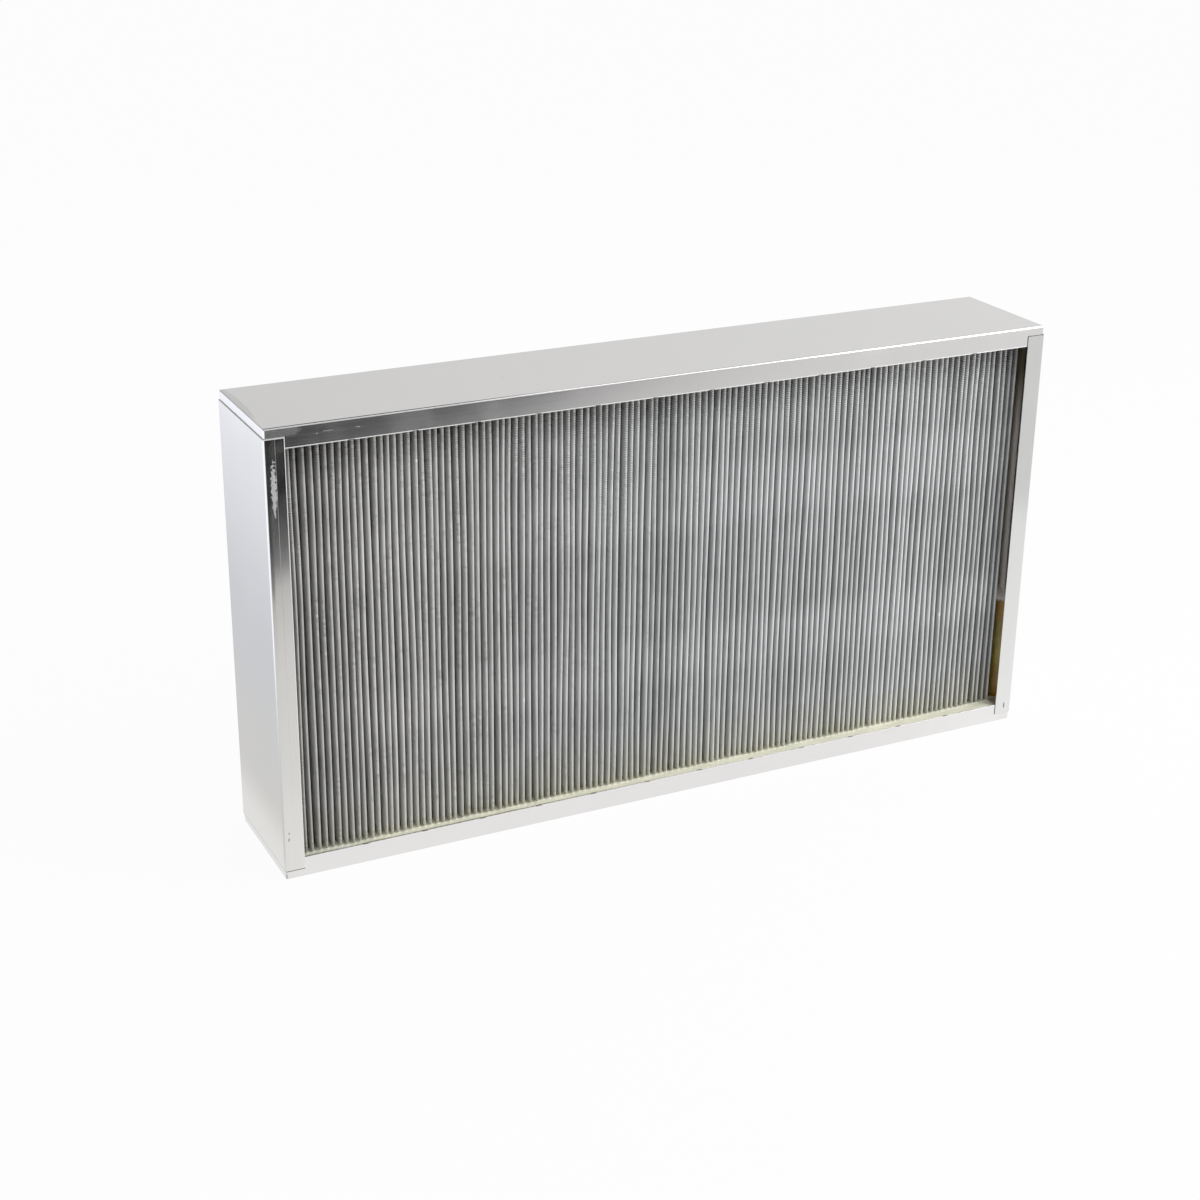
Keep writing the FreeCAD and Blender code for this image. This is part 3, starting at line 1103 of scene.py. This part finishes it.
@dataclass
class PleatedPack:
    """The pleated sheet, worked out from its inner creases, with the waviness of hand-set pleats."""

    finish: MeshFinish
    pleats: int = 121
    pitch: float = 4.565
    thickness: float = 0.9
    depth: float = 75.0
    skew: float = 0.53
    start_x: float = -282.1
    sink: float = 1.0
    rows: int = 40
    arc_steps: int = 8
    wander: float = 0.22
    spacing: float = 0.32
    relief: float = 0.22
    shared_wave: tuple[float, float] = (9.0, 160.0)
    turn_wave: tuple[float, float] = (2.5, 210.0)
    lift_wave: tuple[float, float] = (5.0, 120.0)
    stiff_legs: float = 6.0
    most_own: float = 1.6
    most_lift: float = 2.0
    seed: int = 57
    lint_spots: tuple[tuple[int, float], ...] = ((20, 270.0), (36, 92.0), (109, 93.0))

    def __post_init__(self) -> None:
        """Reads the pack's height from its solid and sets out the creases."""
        low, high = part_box("pleated_media")
        self.low = low.z / MM
        self.high = high.z / MM
        self.levels = np.linspace(self.low - self.sink, self.high + self.sink, self.rows)
        self.creases = self.set_creases()

    def set_creases(self) -> np.ndarray:
        """The sheet's inner creases in the pack's own frame.

        Crease n lies at start_x + n half pitches, in front for even n and behind for odd n. A
        front or rear fold is moved sideways by unevenness that neighbours share, by a little of
        its own, and forward or back by a third part. The first and last folds stay in place, and
        those beside them move the less the nearer they are.

        Returns:
            The places, as creases by rows by (x, y).
        """
        rng = np.random.default_rng(self.seed)
        number = np.arange(2 * self.pleats + 2)[:, None]
        up = self.levels[None, :]
        side = np.where(number % 2 == 1, 1.0, -1.0)
        inner = self.depth / 2.0 - self.thickness
        free = np.clip(np.minimum(number - 1, 2 * self.pleats - number) / self.stiff_legs, 0.0, 1.0)
        shared = unevenness(rng, number, up, *self.shared_wave)
        own = np.clip(rng.normal(0.0, 1.0, number.shape), -self.most_own, self.most_own)
        turn = unevenness(rng, number, up, *self.turn_wave)
        lift = unevenness(rng, number, up, *self.lift_wave)
        x = self.start_x + number * self.pitch / 2.0
        x = x + free * (self.wander * shared + self.spacing * own + 0.5 * self.wander * turn)
        y = side * inner + free * self.relief * np.clip(lift, -self.most_lift, self.most_lift)
        return np.stack([x + 0.0 * up, y], -1)

    def turned(self, places: np.ndarray) -> np.ndarray:
        """Turns places from the pack's own frame into the panel's, by the skew about Z.

        Args:
            places: the places, with (x, y) last.

        Returns:
            The turned places.
        """
        angle = math.radians(self.skew)
        turn = np.array([[math.cos(angle), math.sin(angle)], [-math.sin(angle), math.cos(angle)]])
        return places @ turn

    def leg_normals(self) -> np.ndarray:
        """The unit normal of each leg on the side that opens to the front.

        A leg's front face touches the circle of the sheet's thickness about its front crease and
        passes through its rear crease. With u the way from one crease to the other, p the way
        square to it and s the thickness over their distance, the normal is s u + sqrt(1 - s s) p.

        Returns:
            The normals, as legs by rows by (x, y).
        """
        number = np.arange(len(self.creases) - 1)
        even = (number % 2 == 0)[:, None, None]
        near, far = self.creases[:-1], self.creases[1:]
        way = np.where(even, far - near, near - far)
        span = np.linalg.norm(way, axis=-1, keepdims=True)
        unit = way / span
        square = np.where(even, 1.0, -1.0) * np.stack([unit[..., 1], -unit[..., 0]], -1)
        lean = self.thickness / span
        return lean * unit + np.sqrt(1.0 - lean * lean) * square

    def arcs(self, centres: np.ndarray, before: np.ndarray, after: np.ndarray, side: float) -> np.ndarray:
        """The outer rounds of folds: points at the sheet's thickness from each inner crease.

        The angle about the crease, from the way straight out of the pack, runs evenly from the
        normal of the leg before to that of the leg after.

        Args:
            centres: the inner creases, as folds by rows by (x, y).
            before: the outward normals of the legs before them.
            after: those of the legs after them.
            side: -1 for folds at the front and 1 for folds at the rear.

        Returns:
            The points, as folds by steps by rows by (x, y).
        """
        begin = np.arctan2(before[..., 0], side * before[..., 1])
        end = np.arctan2(after[..., 0], side * after[..., 1])
        share = np.linspace(0.0, 1.0, self.arc_steps + 1)[None, :, None]
        angle = begin[:, None] + share * (end - begin)[:, None]
        out = np.stack([np.sin(angle), side * np.cos(angle)], -1)
        return centres[:, None] + self.thickness * out

    def faces_of_sheet(self) -> tuple[np.ndarray, np.ndarray]:
        """The lines that the sheet's two faces follow at each row.

        Returns:
            The front face and the rear face, each as columns by rows by (x, y), left to right.
            Each has one column where it is creased sharply and a round of columns elsewhere.
        """
        creases, normals = self.creases, self.leg_normals()
        front_arcs = self.arcs(creases[2:-1:2], normals[1:-1:2], normals[2::2], -1.0)
        rear_arcs = self.arcs(creases[1:-1:2], -normals[0:-1:2], -normals[1::2], 1.0)
        rear_sharp = creases[1:-1:2][:, None]
        front_sharp = creases[2:-1:2][:, None]
        start = (creases[0] + self.thickness * normals[0])[None]
        finish = (creases[-1] - self.thickness * normals[-1])[None]
        rows = (self.rows, 2)
        front = np.concatenate([rear_sharp, front_arcs], 1).reshape(-1, *rows)
        rear = np.concatenate([rear_arcs, front_sharp], 1).reshape(-1, *rows)
        return np.concatenate([start, front, creases[-1:]]), np.concatenate([creases[:1], rear, finish])

    def cap_faces(self, columns: int) -> tuple[np.ndarray, np.ndarray]:
        """The faces that close one end of the sheet, by column numbers of the whole loop.

        Each leg's end is one square face between the two faces of the sheet, and each fold's is
        a fan from its sharp crease to its round.

        Args:
            columns: how many columns each face of the sheet has.

        Returns:
            The square faces and the triangles, pointing up.
        """
        step = self.arc_steps
        group = 1 + np.arange(self.pleats)[:, None] * (step + 2)
        last = 2 * columns - 1

        def rear(column: np.ndarray | int) -> np.ndarray | int:
            """Where a column of the rear face comes in the loop."""
            return last - column

        front_sharp, front_round = group, group + 1
        rear_round, rear_sharp = group, group + step + 1
        front_before = np.concatenate([[[0]], front_round[:-1] + step])
        rear_before = np.concatenate([[[0]], rear_sharp[:-1]])
        first_legs = np.concatenate([front_before, front_sharp, rear(rear_round), rear(rear_before)], 1)
        rear_end = rear(rear_round + step)
        second_legs = np.concatenate([front_sharp, front_round, rear(rear_sharp), rear_end], 1)
        front_end = front_round[-1, 0] + step
        tail = np.array([[front_end, columns - 1, rear(columns - 1), rear(rear_sharp[-1, 0])]])
        arc = np.arange(step)
        front_fan = np.stack([front_round + arc, front_round + arc + 1, rear(rear_sharp) + 0 * arc], -1)
        rear_fan = np.stack([rear(rear_round + arc + 1), rear(rear_round + arc), front_sharp + 0 * arc], -1)
        squares = np.concatenate([first_legs, second_legs, tail])
        fans = np.concatenate([front_fan.reshape(-1, 3), rear_fan.reshape(-1, 3)])
        return squares, fans

    def folds(self, front: bool, row: int) -> np.ndarray:
        """The inner creases of the front or the rear folds at one row, as (x, y) in the panel's frame."""
        first = 2 if front else 1
        return self.turned(self.creases[first:-1:2, row])

    def end_leg(self, left: bool, depth: np.ndarray) -> np.ndarray:
        """Where the outer face of the first or last leg stands, as a straight line in the panel's frame.

        Args:
            left: whether it is the first leg, at the left.
            depth: places through the panel, in millimetres.

        Returns:
            X at each of them.
        """
        normals = self.leg_normals()
        if left:
            ends = np.stack([self.creases[0, 0], self.creases[1, 0] - self.thickness * normals[0, 0]])
        else:
            ends = np.stack([self.creases[-2, 0] + self.thickness * normals[-1, 0], self.creases[-1, 0]])
        ends = self.turned(ends)
        return np.interp(depth, ends[:, 1], ends[:, 0])

    def build(self) -> bpy.types.Object:
        """Makes the sheet as one closed surface: the loop of its two faces, row upon row.

        Returns:
            The dressed piece.
        """
        front, rear = self.faces_of_sheet()
        columns = len(front)
        loop = self.turned(np.concatenate([front, rear[::-1]])).transpose(1, 0, 2)
        around = 2 * columns
        height = np.broadcast_to(self.levels[:, None, None], (self.rows, around, 1))
        points = np.concatenate([loop, height], -1).reshape(-1, 3)
        squares, fans = self.cap_faces(columns)
        top = (self.rows - 1) * around
        quads = np.concatenate([tube_faces(self.rows, around), squares[:, ::-1], squares + top])
        sheet = new_piece("pleated_sheet", points, quads, np.concatenate([fans[:, ::-1], fans + top]))
        middle = self.rows // 2
        steps = np.linalg.norm(np.diff(np.concatenate([front, rear[::-1]])[:, middle], axis=0), axis=1)
        run = np.concatenate([[0.0], np.cumsum(steps)])
        tone = np.random.default_rng(self.seed + 1).uniform(0.0, 1.0, 2 * self.pleats + 4)
        folds = np.linspace(0.0, len(tone) - 1.0, columns)
        shade = np.interp(folds, np.arange(len(tone)), tone)
        add_values(sheet, "run", np.tile(run, self.rows))
        add_values(sheet, "shade", np.tile(np.concatenate([shade, shade[::-1]]), self.rows))
        material = self.finish.material(self.low, self.high, self.lint_places())
        settle(sheet, "pleated_media", material)
        return sheet

    def lint_places(self) -> tuple[Vector, ...]:
        """Specks of lint, each on the front of a fold: lint_spots gives the pleat and the height.

        Returns:
            Their places in millimetres.
        """
        folds = self.folds(True, self.rows // 2)
        fronts = ((*folds[fold], level) for fold, level in self.lint_spots)
        return tuple(Vector((x, y - self.thickness, z)) for x, y, z in fronts)


@dataclass
class CastResin:
    """One casting: a block that fills its rail, with a face that creeps up the pleats."""

    node: str
    upper: bool
    finish: ResinFinish
    rim: Rim
    seed: int
    stations: int = 760
    strip: float = 11.0
    strip_steps: int = 14
    middle_steps: int = 6
    creep: float = 0.75
    creep_width: float = 0.7
    wave: float = 0.16
    wave_size: tuple[float, float] = (24.0, 14.0)
    hollow: float = 0.25
    corner_cut: float = 0.5
    edge_width: float = 1.2
    edge_hollow: float = 0.05
    creep_depth: float = 30.0

    def face_height(self, x: np.ndarray, y: np.ndarray, pack: PleatedPack) -> np.ndarray:
        """How far the casting's face stands off its plain level.

        The face is lower by a hollow and an unevenness, which end at the flanges, and climbs by a
        rise that falls off as the exponential of the distance from the nearest fold's round over
        the creep's width, and behind the fold as that of the depth over the creep's depth.

        Args:
            x: places along the panel, in millimetres, as stations by one.
            y: places through the panel, as one by steps.
            pack: the pack that stands in the casting.

        Returns:
            The heights in millimetres, as stations by steps.
        """
        rng = np.random.default_rng(self.seed)
        level = -self.hollow + self.wave * unevenness(rng, x, y, *self.wave_size)
        edge = np.clip((np.abs(y) - self.rim.inside + self.edge_width) / self.edge_width, 0.0, 1.0)
        level = level * (1.0 - edge) - self.edge_hollow * edge
        climb = np.zeros(level.shape)
        for side in (-1.0, 1.0):
            places = pack.folds(side < 0.0, -1 if self.upper else 0)
            nearest = np.abs(x - places[None, :, 0]).argmin(1)
            fold = places[nearest]
            behind = np.maximum(0.0, -side * (y - fold[:, 1:2]))
            ahead = np.maximum(0.0, side * (y - fold[:, 1:2]))
            away = np.hypot(np.abs(x - fold[:, 0:1]), ahead) - pack.thickness
            rise = self.creep * np.exp(-np.maximum(away, 0.0) / self.creep_width)
            climb = np.maximum(climb, rise * np.exp(-behind / self.creep_depth))
        inside = (x[:, 0] > pack.start_x) & (x[:, 0] < -pack.start_x)
        return level + climb * inside[:, None]

    def build(self, pack: PleatedPack) -> bpy.types.Object:
        """Makes the casting: a closed cross-section carried along the panel.

        Each cross-section runs along the underside from front to rear, up the rear, back over the
        uneven face and down the front, with the lower corners cut where the rail is folded.

        Args:
            pack: the pack that stands in it.

        Returns:
            The dressed piece.
        """
        low, high = box_of(self.node)
        x = np.linspace(low.x, high.x, self.stations)[:, None]
        near, far = low.y, high.y
        front = np.linspace(near, near + self.strip, self.strip_steps)
        centre = np.linspace(near + self.strip, far - self.strip, self.middle_steps + 2)[1:-1]
        rear = np.linspace(far - self.strip, far, self.strip_steps)
        y = np.concatenate([front, centre, rear])[None, :]
        face = high.z - low.z + self.face_height(x, y, pack)
        cut = self.corner_cut
        under_y = np.array([near, near + cut, 0.0, far - cut, far])
        under_z = np.array([cut, 0.0, 0.0, 0.0, cut])
        loop_y = np.concatenate([under_y, y[0, ::-1]])
        height = np.concatenate([np.broadcast_to(under_z, (self.stations, len(under_z))), face[:, ::-1]], 1)
        z = high.z - height if self.upper else low.z + height
        loops = np.stack([np.broadcast_to(x, z.shape), np.broadcast_to(loop_y, z.shape), z], -1)
        if self.upper:
            loops = loops[:, ::-1]
        casting = capped_tube(self.node + "_cast", loops)
        settle(casting, self.node, self.finish.material(self.node + "_finish", self.rim))
        return casting


@dataclass
class SideSeal:
    """Adhesive run up between an end pleat and the web of an upright."""

    node: str
    left: bool
    finish: SealFinish
    seed: int
    ledge: float = 97.0
    step: float = 10.0
    hollow: float = 1.6
    drip: float = 0.8
    drip_size: tuple[float, float] = (4.0, 22.0)
    creep: float = 7.0
    slope: float = 6.0
    inset: float = 0.6
    rows: int = 100
    side_steps: int = 8

    def build(self, pack: PleatedPack) -> bpy.types.Object:
        """Makes the seal: a closed cross-section carried up the panel.

        Seen from above, each section runs over the front from the web to the leg or back, along
        one side, over the rear and along the other. The front is hollow between its two sides, as
        the square of a sine, climbs the web as the square of the way to it, and comes forward by
        a smooth step below the ledge.

        Args:
            pack: the pack whose end leg it meets.

        Returns:
            The dressed piece.
        """
        low, high = box_of(self.node)
        rng = np.random.default_rng(self.seed)
        z = np.linspace(low.z, high.z, self.rows)[:, None]
        share = np.linspace(0.0, 1.0, self.side_steps)[None, :]
        upper_front = low.y if self.left else low.y + self.step
        below = np.clip((self.ledge - z) / self.slope + 0.5, 0.0, 1.0)
        below = 0.0 * below if self.left else below * below * (3.0 - 2.0 * below)
        front = upper_front - self.step * below + self.inset
        rear = high.y - self.inset + 0.0 * z
        run = self.drip * unevenness(rng, share * 3.0, z, *self.drip_size)
        hollow = self.hollow * np.sin(np.pi * share) ** 2
        climb = self.creep * (share[:, ::-1] if self.left else share) ** 2.0
        front_y = front + hollow + 0.5 * run * np.sin(np.pi * share) - climb
        rear_y = rear - hollow - 0.5 * run[:, ::-1] * np.sin(np.pi * share) + climb
        leg_y = front + (rear - front) * share
        web_y = front - self.creep + (rear - front + 2.0 * self.creep) * share
        web = (low.x if self.left else high.x) + 0.0 * web_y
        leg = pack.end_leg(self.left, leg_y)
        left_x, right_x = (web, leg) if self.left else (leg, web)
        left_y, right_y = (web_y, leg_y) if self.left else (leg_y, web_y)
        across_front = left_x[:, :1] + (right_x[:, :1] - left_x[:, :1]) * share
        across_rear = left_x[:, -1:] + (right_x[:, -1:] - left_x[:, -1:]) * share
        sides_x = across_front, right_x, across_rear, left_x
        sides_y = front_y, right_y, rear_y, left_y
        loop_x, loop_y = (
            np.concatenate([ahead, right[:, 1:-1], behind[:, ::-1], left[:, -2:0:-1]], 1)
            for ahead, right, behind, left in (sides_x, sides_y)
        )
        loops = np.stack([loop_x, loop_y, np.broadcast_to(z, loop_x.shape)], -1)
        seal = capped_tube(self.node + "_run", loops)
        ledge = low.z - 20.0 if self.left else self.ledge
        material = self.finish.material(self.node + "_finish", ledge, high.z)
        settle(seal, self.node, material)
        return seal


@dataclass(frozen=True)
class SoftBox:
    """A rectangular lamp: its name, its place, its width and height in metres and its power in watts."""

    name: str
    place: Triple
    sides: tuple[float, float]
    power: float


@dataclass
class Studio:
    """A white floor under pale, even light, two soft boxes on the right, and the camera.

    What the bright sheet shows of the floor is a sheet of its own, seen in metal only: white
    near the panel, greyer further off, and dark beyond the edge of the white paper. How bright
    it is changes with the way from the panel to that edge, with the way aside from that, with
    X, and at the left with the way beside the frame, where the panel's painted shadow darkens it
    near the frame, all in millimetres. The floor's side, the lamps and the camera are in metres.
    """

    floor_side: float = 24.0
    floor_white: float = 0.95
    floor_level: float = -0.0002
    sky_middle: float = 0.635
    sky_slope: float = 0.26
    sky_peak: float = 0.9
    reflected_side: float = 6.0
    reflected_level: float = -0.0001
    reflected_peak: float = 1.6
    cool_floor: Colour = (0.965, 0.99, 1.065)
    far_floor: Colour = (0.975, 0.965, 1.0)
    dark_light: float = 0.02
    paper_light: float = 0.60
    aside_light: float = 0.74
    beside_light: float = 0.88
    paper_edge: Step = Step(512.0, 498.0, 1.0)
    room: Step = Step(630.0, 500.0, 0.19)
    room_light: Stretch = Stretch(90.0, 45.0, 45.0, 0.045)
    paper: tuple[Step, ...] = (
        Step(505.0, 385.0, 0.17),
        Step(400.0, 180.0, 0.13),
        Step(-40.0, -140.0, 0.08),
    )
    paper_aside: Step = Step(740.0, 660.0, 0.30)
    beside: tuple[Step, ...] = (
        Step(8.0, 30.0, -0.16),
        Step(90.0, 250.0, 0.22),
        Step(240.0, 330.0, 0.34),
    )
    frame_side: float = -285.0
    past_side: Step = Step(-6.0, 2.0, 1.0)
    cool_side: Step = Step(-310.0, -400.0, 1.0)
    near_front: Step = Step(-200.0, -50.0, 0.03)
    near_sides: Step = Step(290.0, 270.0, 1.0)
    soft_boxes: tuple[SoftBox, ...] = (
        SoftBox("high_box", (0.95, -0.55, 1.25), (1.1, 0.9), 5.5),
        SoftBox("low_box", (1.35, -1.15, 0.52), (0.9, 0.8), 11.5),
    )
    lit_place: Triple = (0.0, 0.0, 0.15)
    lens: float = 64.07
    sensor: float = 36.0
    azimuth: float = -26.45
    elevation: float = 22.59
    roll: float = 0.651
    camera_place: Triple = (-0.6407, -1.2105, 0.6988)

    def floor(self) -> None:
        """The floor: white paper that shows white to the camera and keeps a faint shadow."""
        nodes = Material("white_floor")
        path = nodes.add("ShaderNodeLightPath")
        seen = nodes.out(path, "Is Camera Ray") | nodes.out(path, "Is Transmission Ray")
        seen = (seen | nodes.out(path, "Is Glossy Ray")) * self.floor_white
        paper = nodes.get("ShaderNodeBsdfDiffuse", values={"Color": (0.9, 0.9, 0.9)})
        white = nodes.get("ShaderNodeEmission", values={"Color": WHITE, "Strength": 1.0})
        material = nodes.end(nodes.get("ShaderNodeMixShader", values={0: seen, 1: paper, 2: white}))
        level_square("floor", self.floor_side, self.floor_level, material)

    def reflected_light(self, x: Signal, y: Signal, away: Signal) -> Signal:
        """How bright each place of the floor is, as the metal shows it.

        Args:
            x: the place along the panel.
            y: the place through it.
            away: the way from the panel towards the edge of the paper.

        Returns:
            The brightness.
        """
        dark = changed(changed(self.dark_light, away, self.room), x, self.room_light)
        aside = x * 0.8 - y * 0.6
        paper = changed(self.paper_light, away, *self.paper)
        paper = paper & changed(self.aside_light, aside, self.paper_aside)
        front = dark + (paper - dark) * self.paper_edge.on(away)
        front = front + self.near_front.on(y) * self.near_sides.on(abs(x))
        # painted shadow of the panel on the reflected floor beside its left side
        beside = self.frame_side - x
        left = changed(self.beside_light, beside, *self.beside)
        return front + (left - front) * self.past_side.on(beside)

    def reflected_floor(self) -> None:
        """The floor as the metal shows it, a little above the real one and seen in nothing else."""
        nodes = Material("reflected_floor")
        x, y, _ = nodes.axes()
        away = x * -0.62 - y * 0.78
        tint = nodes.coats(
            self.far_floor,
            (self.paper_edge.on(away), WHITE),
            (self.cool_side.on(x), self.cool_floor),
        )
        level = self.reflected_light(x, y, away) / self.reflected_peak
        shown = {"Color": nodes.blend(level, BLACK, tint), "Strength": self.reflected_peak}
        material = nodes.end(nodes.get("ShaderNodeEmission", values=shown))
        made = level_square("reflected_floor", self.reflected_side, self.reflected_level, material)
        made.visible_camera = False
        made.visible_diffuse = False
        made.visible_shadow = False
        made.visible_transmission = False

    def hang(self, box: SoftBox) -> None:
        """Hangs a soft box so that it faces the lit place, the middle of the panel.

        Args:
            box: the lamp.
        """
        lamp = bpy.data.lights.new(box.name, "AREA")
        lamp.shape = "RECTANGLE"
        lamp.size, lamp.size_y = box.sides
        lamp.energy = box.power
        holder = bpy.data.objects.new(box.name, lamp)
        holder.location = box.place
        aim = Vector(self.lit_place) - holder.location
        holder.rotation_euler = aim.to_track_quat("-Z", "Y").to_euler()
        bpy.context.scene.collection.objects.link(holder)

    def lights(self) -> None:
        """The room's even light, brighter towards the right, and the soft boxes."""
        world = bpy.data.worlds.new("studio")
        world.use_nodes = True
        bpy.context.scene.world = world
        nodes = Nodes(world.node_tree)
        way = nodes.add("ShaderNodeSeparateXYZ", values={"Vector": nodes.get("ShaderNodeTexCoord")})
        tone = self.sky_middle + nodes.out(way, "X") * self.sky_slope
        shade = nodes.blend(tone / self.sky_peak, BLACK, WHITE)
        light = nodes.get("ShaderNodeBackground", values={"Color": shade, "Strength": self.sky_peak})
        nodes.add("ShaderNodeOutputWorld", values={"Surface": light})
        for box in self.soft_boxes:
            self.hang(box)

    def camera(self) -> None:
        """The camera: its three axes follow from its azimuth, elevation and roll."""
        azimuth, elevation, roll = map(math.radians, (self.azimuth, self.elevation, self.roll))
        flat = math.cos(elevation)
        back = Vector((math.sin(azimuth) * flat, -math.cos(azimuth) * flat, math.sin(elevation)))
        level = (-back).cross(Vector((0.0, 0.0, 1.0))).normalized()
        above = level.cross(-back)
        right = math.cos(roll) * level + math.sin(roll) * above
        up = math.cos(roll) * above - math.sin(roll) * level
        data = bpy.data.cameras.new("camera")
        data.sensor_fit = "HORIZONTAL"
        data.sensor_width = self.sensor
        data.lens = self.lens
        made = bpy.data.objects.new("camera", data)
        turned = Matrix((right, up, back)).transposed().to_4x4()
        made.matrix_world = Matrix.Translation(self.camera_place) @ turned
        bpy.context.scene.collection.objects.link(made)
        bpy.context.scene.camera = made

    def build(self) -> None:
        """Sets up the floor, what the metal shows of it, the light and the camera."""
        self.floor()
        self.reflected_floor()
        self.lights()
        self.camera()
        bpy.context.scene.view_settings.view_transform = "Standard"


def main() -> None:
    """Builds the set, the frame, the pack and what holds it, in that order."""
    logging.basicConfig(level=logging.INFO, format="%(message)s")
    Studio().build()
    SheetFrame(SheetFinish()).build()
    pack = PleatedPack(MeshFinish())
    pack.build()
    rim = Rim()
    CastResin("bottom_resin", False, ResinFinish(), rim, seed=3).build(pack)
    CastResin("top_resin", True, ResinFinish(), rim, seed=4).build(pack)
    SideSeal("left_side_seal", True, SealFinish(), seed=5).build(pack)
    SideSeal("right_side_seal", False, SealFinish(), seed=6).build(pack)


if __name__ == "__main__":
    main()
